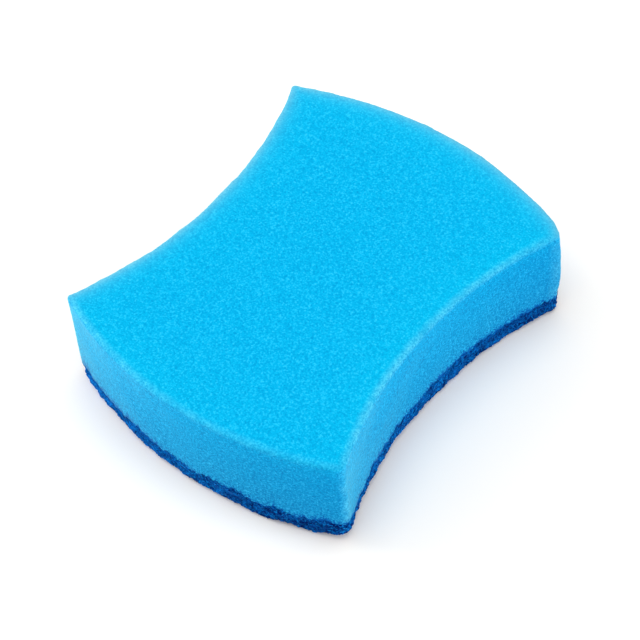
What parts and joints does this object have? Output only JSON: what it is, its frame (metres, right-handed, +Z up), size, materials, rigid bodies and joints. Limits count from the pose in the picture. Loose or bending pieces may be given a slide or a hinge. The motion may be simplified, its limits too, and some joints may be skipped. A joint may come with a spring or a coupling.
{
  "type": "scouring sponge",
  "caption": "Hand scouring sponge with bulging ends and a curved-in waist: a soft foam block glued to a fibrous abrasive pad, for wiping and scrubbing.",
  "frame": {"origin": "centre of the scouring face, at the bottom, which the sponge rests on", "axes": "+Z up, from the scouring face to the wiping face; +Y along the sponge from one bulging end to the other; X across the curved-in waist"},
  "size_m": [0.0866, 0.1078, 0.03],
  "materials": {
    "foam": "sky-blue open-cell polyurethane foam, matt and slightly translucent",
    "glue": "thin adhesive film soaked into both layers, navy",
    "scouring_web": "royal-blue nonwoven nylon web with abrasive resin, fibrous and matt"
  },
  "bodies": {
    "root": {"foam_block": "foam", "glue_layer": "glue", "scouring_pad": "scouring_web"}
  },
  "joints": []
}
